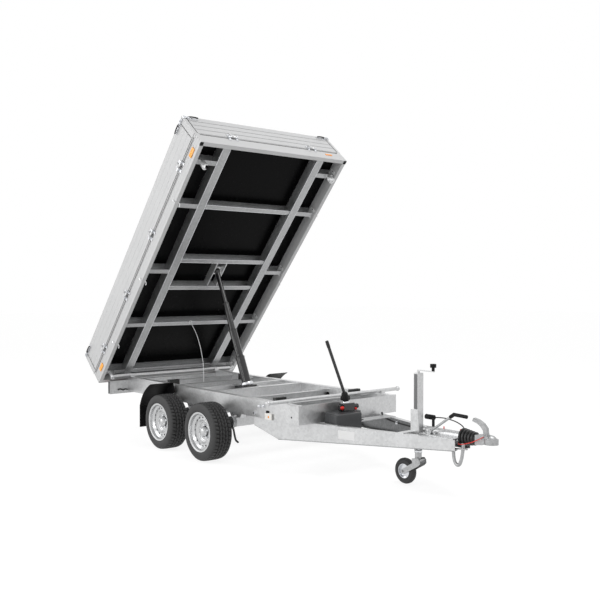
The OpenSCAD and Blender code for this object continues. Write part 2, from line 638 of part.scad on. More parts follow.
module jockey_fork() color(steel) in_draw() translate([leg_x, leg_y, 0]) {
    z = jockey_d / 2;
    h = jockey_w / 2;
    difference() {
        rod_z(0, 0, [218, 300], 27);
        rod_z(0, 0, [270, 301], 19 + run_gap);
    }
    box([-24, 42], [-h - 12, h + 12], [212, 222]);
    both() slab_y([[-34, 222], [30, 232], [48, 214], [50, 188], [30, 168], [-jockey_trail + 20, z - 16],
        [-jockey_trail - 14, z - 16], [-jockey_trail - 18, z + 8], [-30, 184]], [-h - 12, -h - 6]);
    rod_y(-jockey_trail, [-h - 20, h + 20], z, 8);
}
module jockey_tyre() color(black) in_draw() translate([leg_x - jockey_trail, leg_y, jockey_d / 2]) rotate([-90, 0, 0])
    rotate_extrude() {
        r = jockey_d / 2;
        h = jockey_w / 2;
        polygon([[58, -h + 6], [70, -h], [r - 14, -h + 2], [r - 4, -h + 10], [r, -h + 20], [r, h - 20], [r - 4, h - 10],
            [r - 14, h - 2], [70, h], [58, h - 6]]);
    }
module jockey_rim() color(alu) in_draw() translate([leg_x - jockey_trail, leg_y, jockey_d / 2]) rotate([-90, 0, 0])
    rotate_extrude() {
        h = jockey_w / 2;
        polygon([[8 + run_gap, -h], [20, -h], [24, -6], [52, -6], [54, -h + 4], [57.6, -h + 4], [57.6, h - 4], [54, h - 4],
            [52, 6], [24, 6], [20, h], [8 + run_gap, h]]);
    }

module ram_barrel() color(black) on_ram() {
    difference() {
        union() {
            rod_z(0, 0, [-barrel_below, 22], barrel_d / 2);
            rod_z(0, 0, [22, collar_top], barrel_d / 2 + 4);
            box([-64, 64], [-66, 66], [-24, 24]);
            rod_y(0, [-92, 92], 0, 16);
        }
        rod_z(0, 0, [-barrel_below + 8, collar_top + 1], stage_d / 2 + run_gap);
    }
}
// One telescopic tube, numbered from the outside, drawn out by its share of the travel.
module stage(n) {
    top = collar_top + n * (stage_lip + stage_run);
    r = (stage_d - (n - 1) * stage_step) / 2;
    difference() {
        rod_z(0, 0, [top - stage_l, top], r);
        rod_z(0, 0, [top - stage_l - 1, top + 1], r - stage_step / 2 + run_gap);
    }
}
module ram_stage_1() color(black) on_ram() stage(1);
module ram_stage_2() color(black) on_ram() stage(2);
module ram_stage_3() color(black) on_ram() stage(3);
module ram_stage_4() color(black) on_ram() {
    top = collar_top + 4 * (stage_lip + stage_run);
    rod_z(0, 0, [top - stage_l, ram_len], (stage_d - 3 * stage_step) / 2);
    translate([0, 0, ram_len]) sphere(r = ram_ball_d / 2);
}

side_beams();
cross_members();
rear_board();
rear_lamps();
pivot_tubes();
bed_buffers();
axle_beams();
swing_arms();
mudguards();
marker_lamps();
drawbar_arms();
drawbar_ties();
overrun_housing();
gaiter();
coupling_head();
hand_levers();
hand_grips();
jockey_column();
pump_tank();
pump_head();
plug_holder();
ram_carrier();
gimbal_ring();
lead_cable();
breakaway_cable();
tip_rope();
bed_rails();
bed_long_members();
bed_cross_members();
bed_floor();
corner_posts();
ram_seat();
bed_sockets();
bed_fittings();
reflectors();
right_board();
left_board();
front_board();
tail_board();
tyre_front_left();
rim_front_left();
tyre_front_right();
rim_front_right();
tyre_rear_left();
rim_rear_left();
tyre_rear_right();
rim_rear_right();
jockey_fork();
jockey_tyre();
jockey_rim();
ram_barrel();
ram_stage_1();
ram_stage_2();
ram_stage_3();
ram_stage_4();
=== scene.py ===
import json
import math

import bpy
import numpy as np
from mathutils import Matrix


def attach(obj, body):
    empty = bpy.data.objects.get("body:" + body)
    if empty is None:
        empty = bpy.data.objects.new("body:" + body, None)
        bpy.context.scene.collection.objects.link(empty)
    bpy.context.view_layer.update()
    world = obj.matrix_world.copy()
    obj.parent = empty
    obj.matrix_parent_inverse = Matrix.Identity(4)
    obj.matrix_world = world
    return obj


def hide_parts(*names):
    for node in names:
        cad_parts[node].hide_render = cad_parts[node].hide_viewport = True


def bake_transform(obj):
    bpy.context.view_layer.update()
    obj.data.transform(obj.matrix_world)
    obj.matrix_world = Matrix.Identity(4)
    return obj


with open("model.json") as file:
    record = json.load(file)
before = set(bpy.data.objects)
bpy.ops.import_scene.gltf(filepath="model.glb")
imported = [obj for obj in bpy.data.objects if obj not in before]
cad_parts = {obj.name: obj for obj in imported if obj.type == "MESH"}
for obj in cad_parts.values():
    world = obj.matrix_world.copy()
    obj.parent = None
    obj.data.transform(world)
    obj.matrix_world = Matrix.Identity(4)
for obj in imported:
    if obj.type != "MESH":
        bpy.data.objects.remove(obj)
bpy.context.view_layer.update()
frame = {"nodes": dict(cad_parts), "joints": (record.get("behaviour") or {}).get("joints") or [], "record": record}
nodes = frame["nodes"]
joints = {j["name"]: j for j in frame["joints"]}
scene = bpy.context.scene
scene.view_settings.view_transform = "Standard"

# Camera, fitted to the photo
cam = bpy.data.objects.new("camera", bpy.data.cameras.new("camera"))
scene.collection.objects.link(cam)
cam.data.sensor_width = 36
cam.data.lens = 49.37
cam.location = (6.0591, -4.890, 1.577)
cam.rotation_euler = (math.radians(89.01), 0, math.radians(50.09))
cam.data.clip_end = 200
scene.camera = cam

# Chassis sizes in millimetres, as in the part's source, whose frame is shifted by SHIFT metres along X
SHIFT = 0.5329368
FRAME_Y, BEAM_Z = 577, 429  # outer faces of the side beams, and their lower edge, level with the arms' top
ARM_X, ARM_TIP_X, ARM_SLOPE = 810, 2650, 0.2636  # ends of the drawbar arms, and how they close in
ARM_TIP_Y = 92  # outer faces of the arms at their front end
SKIN = 2.5  # what lies deeper than this behind an outer face is inside a channel
LEG_X, LEG_Y = 2248, -45
PUMP_X = 1506

# Bed sizes in metres
TIP = math.radians(49)
BED_L, BED_Y = 3.075, 0.885  # length and half width
PIVOT_U, PIVOT_UP = 0.136, 0.055  # from the bed's end to the rear pivot, and from there up to the members
HINGE_H, GAP_SHADE_H, BOARD_H, LATCH_H = 0.116, 0.104, 0.264, 0.374  # heights over the members' undersides; the second is the dark strip of painted shade in the gap under the boards

WHEELS = ("front_left", "front_right", "rear_left", "rear_right")
X, Y, Z = np.eye(3)
E1 = np.array([math.cos(TIP), 0, math.sin(TIP)])
E3 = np.array([-math.sin(TIP), 0, math.cos(TIP)])
PIVOT = np.array(joints["bed_tip"]["pos_m"])


def at(x, y, z):
    """A point of the part's source, in millimetres, in the shared frame."""
    return (x / 1000 - SHIFT, y / 1000, z / 1000)


def bed(u, v, h):
    """A point of the tipped bed: along it, across it and up from its members' undersides, in metres."""
    return PIVOT + (u - PIVOT_U) * E1 + v * Y + (h + PIVOT_UP) * E3


# Materials


class Sock:
    """A shader socket with arithmetic: each operator adds one Math node to the socket's tree."""

    def __init__(self, tree, out):
        self.tree, self.out = tree, out

    def node(self, kind, *args, out=0, props=(), **inputs):
        """Any other node, with its inputs by position or by name (spaces as underscores)."""
        n = self.tree.nodes.new(kind)
        for k, v in props:
            setattr(n, k, v)
        names = {i.name.replace(" ", "_"): i for i in reversed(n.inputs)}
        for s, v in [*zip(n.inputs, args), *((names[k], v) for k, v in inputs.items())]:
            if isinstance(v, Sock):
                self.tree.links.new(v.out, s)
            else:
                s.default_value = v
        return Sock(self.tree, n.outputs[out])

    def _math(self, op, a, b):
        return self.node("ShaderNodeMath", a, b, props=[("operation", op)])

    def __add__(self, o): return self._math("ADD", self, o)
    def __sub__(self, o): return self._math("SUBTRACT", self, o)
    def __rsub__(self, o): return self._math("SUBTRACT", o, self)
    def __mul__(self, o): return self._math("MULTIPLY", self, o)
    def __truediv__(self, o): return self._math("DIVIDE", self, o)

    def most(self, o):
        """The larger of two values."""
        return self._math("MAXIMUM", self, o)

    def clip(self, rate):
        """0 below zero, and up to 1 at a rate."""
        return self.node("ShaderNodeMath", self, rate, props=[("operation", "MULTIPLY"), ("use_clamp", True)])

    def noise(self, scale, detail=3.0):
        """Clouds from 0 to 1, over this vector."""
        return self.node("ShaderNodeTexNoise", Vector=self, Scale=scale, Detail=detail)

    def cells(self, scale):
        """One grey for each cell of a Voronoi pattern."""
        return self.node("ShaderNodeTexVoronoi", Vector=self, Scale=scale, out="Color").part(0)

    def part(self, k):
        """One of the three numbers of a vector or colour."""
        return self.node("ShaderNodeSeparateXYZ", self, out=k)

    def tint(self, low, high):
        """A colour between low and high."""
        mix = self.node("ShaderNodeMix", props=[("data_type", "RGBA")], out=2)
        sockets = mix.out.node.inputs
        self.tree.links.new(self.out, sockets[0])
        sockets[6].default_value = (*low, 1)
        sockets[7].default_value = (*high, 1)
        return mix

    def bump(self, strength, distance):
        """A surface normal that takes this value as a height."""
        return self.node("ShaderNodeBump", Height=self, Strength=strength, Distance=distance)


def material(name, **constants):
    """A Principled material with constants on the shader; returns it with its Object coordinates."""
    m = bpy.data.materials.new(name)
    m.use_nodes = True
    tree = m.node_tree
    b = tree.nodes["Principled BSDF"]
    for k, v in constants.items():
        b.inputs[k.replace("_", " ")].default_value = (*v, 1) if isinstance(v, tuple) else v
    t = tree.nodes.new("ShaderNodeTexCoord")

    def feed(**socks):
        for k, s in socks.items():
            tree.links.new(s.out, b.inputs[k.replace("_", " ")])

    return m, Sock(tree, t.outputs["Object"]), feed


def across(p):
    """The distance from the trailer's middle plane."""
    y = p.part(1)
    return y.most(y * -1.0)


def arm_shade_mask(p):
    """1 inside the drawbar arms' channels, under their top flange, and 0 on their outer faces: where the zinc
    takes painted shade.
    """
    closing = (p.part(0) + (SHIFT - ARM_X / 1000)) * ARM_SLOPE
    deep = (FRAME_Y - SKIN) / 1000 - closing - across(p)
    return deep.clip(400.0) * ((BEAM_Z - SKIN) / 1000 - p.part(2)).clip(1000.0)


def beam_light_mask(p):
    """1 inside the side beams' channels and 0 on their outer faces: where the zinc takes painted light."""
    return ((FRAME_Y - SKIN) / 1000 - across(p)).clip(400.0)


def bluish(grey):
    """A grey with a touch of blue."""
    return (grey, grey + 0.004, grey + 0.008)


def galvanised(name, low, high, mask=None, painted_grey=0.0):
    """Hot-dip zinc: fine flakes on slow clouds, between two greys, and towards a painted grey
    where a mask is 1: painted shade where that grey is darker, painted light where it is lighter."""
    flake_share = 0.35
    m, p, feed = material(name, Metallic=0.85)
    flake = p.cells(60)
    mix = flake * flake_share + p.noise(5.0, 4.0) * (1 - flake_share)
    tone = mix
    if mask:
        edge = low if painted_grey < low else high
        base, top = min(low, painted_grey), max(high, painted_grey)
        tone = (mix * (high - low) + mask(p) * (painted_grey - edge) + (low - base)) / (top - base)
        low, high = base, top
    feed(Base_Color=tone.tint(bluish(low), bluish(high)), Roughness=mix * 0.22 + 0.28,
         Normal=(flake + p.noise(160.0) * 0.4).bump(0.12, 0.0006))
    return m


def aluminium():
    """Mill-finished sheet: slow clouds between two greys, with a very fine grain."""
    m, p, feed = material("aluminium", Metallic=0.15, Roughness=0.5)
    feed(Base_Color=p.noise(3.0, 2.0).tint((0.535, 0.537, 0.540), (0.575, 0.577, 0.580)),
         Normal=p.noise(220.0).bump(0.03, 0.0004))
    return m


def plain(name, colour, rough, grain=0.0, deep=None, **constants):
    """One colour with an uneven shine, a grain if asked, and a darker colour painted into a tyre's grooves as
    their shade.
    """
    uneven = 0.16
    m, p, feed = material(name, Base_Color=colour, **constants)
    feed(Roughness=p.noise(26.0, 4.0) * uneven + (rough - uneven / 2))
    if grain:
        feed(Normal=p.noise(420.0).bump(grain, 0.0005))
    if deep:
        # Painted shade: the groove attribute darkens the colour in grooves and slits
        groove = p.node("ShaderNodeAttribute", props=[("attribute_name", "groove")], out="Fac")
        feed(Base_Color=groove.tint(colour, deep))
    return m


MATS = {
    "galvanised": galvanised("galvanised", 0.47, 0.71),
    # A darker copy of the zinc for the bed's members: painted shade
    "galvanised_bed": galvanised("galvanised_bed", 0.31, 0.50),
    # Painted shade inside the drawbar arms' channels
    "galvanised_arm": galvanised("galvanised_arm", 0.47, 0.71, arm_shade_mask, 0.10),
    # Painted light inside the side beams' channels
    "galvanised_beam": galvanised("galvanised_beam", 0.47, 0.71, beam_light_mask, 0.95),
    # A lighter copy of the zinc for the seat, carrier, sockets and fittings: painted light
    "galvanised_light": galvanised("galvanised_light", 0.74, 0.94),
    "cast_zinc": galvanised("cast_zinc", 0.28, 0.54),
    "aluminium": aluminium(),
    "zinc_bright": plain("zinc_bright", (0.66, 0.67, 0.69), 0.22, Metallic=1.0),
    "floor_board": plain("floor_board", (0.002, 0.002, 0.0022), 0.30, Specular_IOR_Level=0.05),
    # The last colour is the painted shade in the tyres' grooves
    "tyre_rubber": plain("tyre_rubber", (0.025, 0.025, 0.0255), 0.60, 0.12, (0.0015, 0.0015, 0.0015)),
    "rim_silver": plain("rim_silver", (0.57, 0.575, 0.58), 0.26, Metallic=0.85),
    "black_rubber": plain("black_rubber", (0.008, 0.008, 0.008), 0.45),
    "black_plastic": plain("black_plastic", (0.006, 0.006, 0.0065), 0.45, 0.1, Specular_IOR_Level=0.2),
    "ram_black": plain("ram_black", (0.004, 0.004, 0.005), 0.18, Coat_Weight=0.3),
    # For the painted shade lines under the drawbar arms
    "arm_grey": plain("arm_grey", (0.32, 0.325, 0.33), 0.45, 0.1, Metallic=0.7),
    # For the painted shade on the jockey leg's side
    "leg_dark": plain("leg_dark", (0.16, 0.162, 0.165), 0.4, Metallic=0.5),
    "tank_grey": plain("tank_grey", (0.050, 0.052, 0.055), 0.38, 0.06),
    "lamp_red": plain("lamp_red", (0.32, 0.008, 0.008), 0.15, Coat_Weight=0.6),
    "lamp_clear": plain("lamp_clear", (0.86, 0.84, 0.80), 0.15, Coat_Weight=0.6),
    "amber": plain("amber", (1.0, 0.34, 0.012), 0.2, Coat_Weight=0.5),
    "amber_side": plain("amber_side", (1.0, 0.40, 0.004), 0.2, Coat_Weight=0.4),
    "red_cord": plain("red_cord", (0.75, 0.02, 0.012), 0.4),
    "label_white": plain("label_white", (0.88, 0.88, 0.88), 0.5),
    "wire_rope": plain("wire_rope", (0.88, 0.885, 0.89), 0.4),
}
# Nodes that look other than their slot; the darker and lighter copies of the zinc are painted shade and painted
# light
LOOKS = {
    "galvanised_bed": ("bed_long_members", "bed_cross_members"),
    "galvanised_arm": ("drawbar_arms",),
    "galvanised_beam": ("side_beams",),
    "galvanised_light": ("ram_seat", "ram_carrier", "bed_sockets", "bed_fittings"),
    "cast_zinc": ("coupling_head", "hand_levers", "jockey_fork"),
}
for sub in frame["record"]["subparts"]:
    o = nodes[sub["node"]]
    o.data.materials.clear()
    o.data.materials.append(MATS[sub["material_slot"]])
for look, names in LOOKS.items():
    for name in names:
        nodes[name].data.materials[0] = MATS[look]

# Surfaces


def surface(name, p, slot, body, round_u=False, round_v=False, smooth=True):
    """A quad surface over a grid of points p[u, v], closed round u or v if asked."""
    nu, nv = p.shape[:2]
    i = np.arange(nu if round_u else nu - 1)[:, None]
    j = np.arange(nv if round_v else nv - 1)[None, :]
    i2, j2 = (i + 1) % nu, (j + 1) % nv
    corners = ((i, j), (i2, j), (i2, j2), (i, j2))
    quads = np.stack([a * nv + b for a, b in corners], -1).reshape(-1, 4)
    me = bpy.data.meshes.new(name)
    me.from_pydata(p.reshape(-1, 3), [], quads)
    me.polygons.foreach_set("use_smooth", np.full(len(quads), smooth))
    me.materials.append(MATS[slot])
    o = bpy.data.objects.new(name, me)
    scene.collection.objects.link(o)
    if body:
        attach(o, body)
    return o


def spline(points, n):
    """A smooth path through the points: Catmull-Rom cubics, sampled n times a span."""
    q = np.array(points, float)
    q = np.vstack([2 * q[0] - q[1], q, 2 * q[-1] - q[-2]])
    t = np.linspace(0, 1, n, endpoint=False)[None, :, None]
    a, b, c, d = (q[k: len(q) - 3 + k][:, None] for k in range(4))
    square, cube = 2 * a - 5 * b + 4 * c - d, 3 * b - 3 * c + d - a
    s = 0.5 * (2 * b + (c - a) * t + square * t**2 + cube * t**3)
    return np.vstack([s.reshape(-1, 3), q[-2:-1]])


def tube_points(path, r):
    """A circle of radius r carried along a path, square to it."""
    sides = 12
    t = np.gradient(path, axis=0)
    t /= np.linalg.norm(t, axis=1, keepdims=True)
    a = np.cross(t, [0.0, 1.0, 0.05])
    a /= np.linalg.norm(a, axis=1, keepdims=True)
    b = np.cross(t, a)
    w = np.linspace(0, 2 * np.pi, sides, endpoint=False)
    ring = a[:, None] * np.cos(w)[None, :, None] + b[:, None] * np.sin(w)[None, :, None]
    return path[:, None] + ring * r


# Cords


def cord(name, points, r, slot, node, body):
    """A cable as a round tube along a smooth path, in place of its CAD node."""
    path = spline(points, 16)
    o = surface(name, tube_points(path, r), slot, body, round_v=True)
    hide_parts(node)
    return o, path


cord("lead", [at(2321, 59, 541), at(2370, 60, 547), at(2440, 58, 549), at(2520, 54, 541), at(2580, 48, 527),
              at(2622, 42, 508), at(2645, 36, 478)], 0.0045, "black_rubber", "lead_cable", "chassis")
cord("breakaway", [at(2645, -32, 413), at(2648, -52, 398), at(2700, -68, 402), at(2785, -72, 428),
                   at(2838, -60, 455), at(2874, -41.5, 477)], 0.003, "red_cord", "breakaway_cable", "chassis")
rope, rope_path = cord("rope", [at(-780, -61, 553), at(-782, -60, 640), at(-800, -60, 780), at(-850, -61, 930),
                                at(-930, -62, 1070), at(-1040.5, -63, 1186)],
                       0.0034, "wire_rope", "tip_rope", None)
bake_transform(rope)

# Tyres

BLOCKS = 46  # tread blocks round a tyre
TYRE_R, BEAD_R, TREAD_HALF = 0.2625, 0.172, 0.078
GROOVE, GROOVE_HALF, GROOVE_SIDE = 0.0140, 0.0066, 0.0008  # a running groove's depth, half width, wall
SLIT = 0.0105  # depth of the slits between blocks


def tyre(name, centre, side):
    """Tread and walls as one surface of two angles: round the axle, and across a section with grooves.
    The radius drops in four running grooves and in slanted slits that part the block rows."""
    # Turns within one block, and whether a slit is there
    step = np.array([0.0, 0.10, 0.13, 0.5, 0.87, 0.90])
    slit = np.tile([1.0, 1.0, 0.0, 0.0, 0.0, 1.0], BLOCKS)
    turn = (np.arange(BLOCKS)[:, None] + step).ravel() / BLOCKS
    wall_w = np.array([-0.0835, -0.0925, -0.0965, -0.0975, -0.0968, -0.0945, -0.090, -0.0845])
    wall_r = np.array([BEAD_R, BEAD_R + 0.012, BEAD_R + 0.016, BEAD_R + 0.034, BEAD_R + 0.052,
                       TYRE_R - 0.024, TYRE_R - 0.013, TYRE_R - 0.006])
    # Across the tread: place, share of a groove's depth, share of a slit's depth
    tread = [(-TREAD_HALF, 0, 0.6), (-0.066, 0, 1), (-0.058, 0, 1)]
    for c in (-0.046, -0.016, 0.016, 0.046):
        a, b = c - GROOVE_HALF, c + GROOVE_HALF
        tread += [(a, 0, 1), (a + GROOVE_SIDE, 1, 0), (b - GROOVE_SIDE, 1, 0), (b, 0, 1), (b + 0.004, 0, 1),
                  (c + 0.011, 0, 1), (c + 0.019, 0, 1)]
    tread += [(0.070, 0, 1), (TREAD_HALF, 0, 0.6)]
    tread_w, groove, row = np.array(tread).T
    tread_r = TYRE_R - 0.0035 * (np.abs(tread_w) / TREAD_HALF) ** 4
    none = 0 * wall_w
    w = np.concatenate([wall_w, tread_w, -wall_w[::-1]])
    r = np.concatenate([wall_r, tread_r, wall_r[::-1]])
    groove = np.concatenate([none, groove * GROOVE, none])
    row = np.concatenate([none, row, none])
    slant = 0.22 * np.sign(np.sin(w * 105)) * (np.abs(w) < 0.05) + 6.0 * w
    angle = 2 * np.pi * (turn[:, None] + (slant / BLOCKS)[None, :])
    cut = np.maximum(groove[None, :], SLIT * slit[:, None] * row[None, :])
    rad = r[None, :] - cut
    p = np.stack([rad * np.cos(angle), np.broadcast_to(side * w, rad.shape), rad * np.sin(angle)], -1)
    p = p + np.array(centre)
    if side < 0:
        p, cut = p[::-1], cut[::-1]
    o = surface("tread_" + name, p, "tyre_rubber", "wheel_" + name, round_u=True)
    # The groove attribute carries the painted shade of the grooves and slits
    groove_shade = o.data.attributes.new("groove", "FLOAT", "POINT")
    groove_shade.data.foreach_set("value", (cut / GROOVE).ravel().astype(np.float32))
    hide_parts("tyre_" + name)


for name in WHEELS:
    tyre(name, joints[f"wheel_{name}_spin"]["pos_m"], 1 if "left" in name else -1)

# Small parts

NIL = 0.0001  # radius of a turned profile's closed end
SHARP = 0.1  # a pad's softness where it is nearly a plain box
DOME = [(NIL, 1.0), (0.45, 0.92), (0.8, 0.66), (0.97, 0.3), (1.0, 0.0)]


def lathe(name, profile, base, axis, slot, body, sides=24, smooth=True):
    """A profile of (radius, height) pairs turned round an axis from its base."""
    n = np.array(axis, float) / np.linalg.norm(axis)
    e = np.cross(n, [0.31, 0.89, 0.33])
    e /= np.linalg.norm(e)
    f = np.cross(n, e)
    w = np.linspace(0, 2 * np.pi, sides, endpoint=False)
    q = np.array(profile, float)
    ring = np.cos(w)[:, None] * e + np.sin(w)[:, None] * f
    p = np.array(base) + q[None, :, :1] * ring[:, None] + q[None, :, 1:] * n
    surface(name, p, slot, body, round_u=True, smooth=smooth)


def pad(name, centre, a, b, c, slot, body, soft=0.22):
    """A rounded block: a sphere of two angles whose cosines and sines are flattened by a power,
    spanned by three half axes."""
    u = np.linspace(-np.pi, np.pi, 32, endpoint=False)[:, None]
    v = np.linspace(-np.pi / 2, np.pi / 2, 17)[None, :]
    k = lambda x: np.sign(x) * np.abs(x) ** soft
    x, y, z = k(np.cos(v)) * k(np.cos(u)), k(np.cos(v)) * k(np.sin(u)), k(np.sin(v)) + 0 * u
    p = np.array(centre) + sum(s[..., None] * np.array(d) for s, d in ((x, a), (y, b), (z, c)))
    surface(name, p, slot, body, round_u=True)


def pipe(name, points, r, slot, body, n=10):
    """A round bar along a smooth path, with closed ends."""
    path = spline(points, n)
    t = tube_points(path, r)
    ends = [np.repeat(path[k][None, None], t.shape[1], 1) for k in (0, -1)]
    surface(name, np.concatenate([ends[0], t, ends[1]]), slot, body, round_v=True)


def dome(name, base, axis, r, h, slot, body):
    """A round cap of radius r and height h, turned from the DOME profile."""
    lathe(name, [(r * a, h * b) for a, b in DOME], base, axis, slot, body)


def nut(name, base, axis, r, h, slot, body):
    """A six-sided nut or bolt head with a bevelled edge."""
    lathe(name, [(NIL, h), (r * 0.8, h), (r, h * 0.8), (r, 0)], base, axis, slot, body, 6, False)


# Road wheels
VENTS, LUGS = 16, 5
for name in WHEELS:
    body = "wheel_" + name
    c = np.array(joints[f"wheel_{name}_spin"]["pos_m"])
    out = Y if "left" in name else -Y
    on_ring = lambda share, r: r * (math.cos(2 * math.pi * share) * X + math.sin(2 * math.pi * share) * Z)
    lathe("cap_" + name, [(NIL, 0.070), (0.020, 0.069), (0.029, 0.064), (0.033, 0.056), (0.037, 0.050)], c, out,
          "rim_silver", body)
    lathe("bead_" + name, [(0.085, 0.0345), (0.088, 0.040), (0.092, 0.0415), (0.096, 0.040)], c, out,
          "rim_silver", body, 48)
    # A dark ring round the cap: painted shade
    lathe("hub_ring_" + name, [(0.0462, 0.029), (0.0470, 0.0325), (0.0505, 0.0325), (0.0515, 0.029)], c, out,
          "black_plastic", body, 36)
    # Black domes stand for the vent holes: painted shade
    for i in range(VENTS):
        dome(f"vent_{name}_{i}", c + 0.0528 * out + on_ring(i / VENTS, 0.128), out, 0.009, 0.003,
             "black_plastic", body)
    for i in range(LUGS):
        nut(f"lug_{name}_{i}", c + 0.0295 * out + on_ring((i + 0.25) / LUGS, 0.058), out, 0.0115, 0.017,
            "zinc_bright", body)

# Ram: each stage stands out of the last by its run and a lip, and is a step slimmer
ram = np.array(joints["ram_tilt"]["pos_m"])
up = np.array(joints["ram_slide_1"]["axis"])
COLLAR_TOP, STAGE_LIP, STAGE_RUN = 0.050, 0.010, 0.2875496
STAGE_D, STAGE_STEP = 0.092, 0.015
BALL_UP, BALL_R = 1.3162, 0.036  # from the tilt axis to the ball's centre, and its radius
lathe("ram_collar", [(0.0575, 0.024), (0.0635, 0.026), (0.0635, 0.064), (0.058, 0.069), (0.0469, 0.069)],
      ram, up, "zinc_bright", "ram_barrel", 36)
for i in (1, 2, 3):
    top = COLLAR_TOP + i * (STAGE_LIP + STAGE_RUN)
    r = (STAGE_D - (i - 1) * STAGE_STEP) / 2
    lathe(f"ram_ring_{i}", [(r, top - 0.009), (r + 0.0025, top - 0.008), (r + 0.0025, top - 0.002),
                            (r - 0.005, top + 0.0006)], ram, up, "ram_black", f"ram_stage_{i}", 36)

# Pump, and the ram's ball
lathe("pump_socket", [(NIL, 0.078), (0.018, 0.078), (0.027, 0.066), (0.031, 0.024), (0.026, 0.0)],
      at(PUMP_X, -130, 603), (0, -0.25, 1), "black_plastic", "chassis")
pad("pump_yoke", at(PUMP_X, -137, 628), 0.022 * X, 0.042 * Y, 0.022 * Z, "black_plastic", "chassis", 0.4)
pipe("lever_tip", [at(PUMP_X, -324, 1066), at(PUMP_X, -336, 1093), at(PUMP_X, -347, 1118)], 0.0145,
     "black_rubber", "chassis")
pad("tank_front", at(1566, -190, 442), 0.052 * X, 0.148 * Y, 0.072 * Z, "tank_grey", "chassis", 0.16)
pad("ram_ball", ram + BALL_UP * up, BALL_R * X, BALL_R * Y, BALL_R * Z, "ram_black", "ram_stage_4", 1.0)
pipe("pump_stalk", [at(1524, -196, 543), at(1541, -200, 550)], 0.006, "zinc_bright", "chassis")
dome("pump_knob", at(1535, -199, 549), (0.8, -0.3, 0.35), 0.016, 0.026, "red_cord", "chassis")
dome("pump_valve", at(1531, -46, 532), (0.9, 0.1, 0.1), 0.011, 0.022, "red_cord", "chassis")
lathe("pump_clamp", [(0.0245, 0), (0.030, 0.002), (0.030, 0.024), (0.0245, 0.026)], at(PUMP_X, -127.5, 575), Z,
      "zinc_bright", "chassis")


def latch(name, body, place, along, out, up):
    """Toggle latch of a drop board: base plate, bent lever, loop over the post and two rivets."""
    q = lambda a, o, h: np.array(place) + a * along + o * out + h * up
    pad(name + "_plate", q(-0.055, 0.004, 0), 0.062 * along, 0.0045 * out, 0.017 * up, "zinc_bright", body)
    pad(name + "_keeper", q(0.030, 0.005, 0), 0.016 * along, 0.0065 * out, 0.015 * up, "zinc_bright", body)
    pipe(name + "_lever", [q(-0.112, 0.016, -0.004), q(-0.08, 0.019, -0.002), q(-0.03, 0.017, 0),
                           q(-0.012, 0.010, 0)], 0.0062, "black_plastic", body)
    pipe(name + "_loop", [q(-0.02, 0.013, 0.008), q(0.012, 0.014, 0.009), q(0.034, 0.014, 0.008),
                          q(0.040, 0.014, 0), q(0.034, 0.014, -0.008), q(0.012, 0.014, -0.009),
                          q(-0.02, 0.013, -0.008)], 0.003, "zinc_bright", body)
    for k in (-0.098, -0.070):
        dome(f"{name}_rivet{int(-k * 1000)}", q(k, 0.008, 0.011), out, 0.004, 0.003, "zinc_bright", body)


def hinge(name, board, pin, along, out, gap):
    """Strap hinge on a pin: two knuckles with arms and rail plates on the bed, a bolted plate on the board.
    The rail's face lies the gap behind the pin."""
    q = lambda a, o, h: np.array(pin) + a * along + o * out + h * E3
    r = 0.0082
    for k, (a, b) in enumerate(((-0.046, -0.0115), (0.0365, 0.064))):
        mid, half = (a + b) / 2, (b - a) / 2
        lathe(f"{name}_knuckle{k}", [(NIL, 0), (r, 0), (r, b - a), (NIL, b - a)], q(a, 0, 0), along,
              "zinc_bright", "bed", 16, False)
        pad(f"{name}_arm{k}", q(mid, -gap / 2, -0.003), half * along, gap / 2 * out, 0.005 * E3,
            "zinc_bright", "bed")
        pad(f"{name}_foot{k}", q(mid, 0.003 - gap, -0.018), half * along, 0.003 * out, 0.020 * E3,
            "zinc_bright", "bed")
        dome(f"{name}_foot_bolt{k}", q(mid, 0.006 - gap, -0.022), out, 0.007, 0.004, "zinc_bright", "bed")
    pad(f"{name}_plate", q(0.001, -0.0125, 0.034), 0.044 * along, 0.003 * out, 0.020 * E3, "zinc_bright", board)
    for k, a in enumerate((-0.030, 0.032)):
        dome(f"{name}_plate_bolt{k}", q(a, -0.0095, 0.036), out, 0.007, 0.005, "zinc_bright", board)


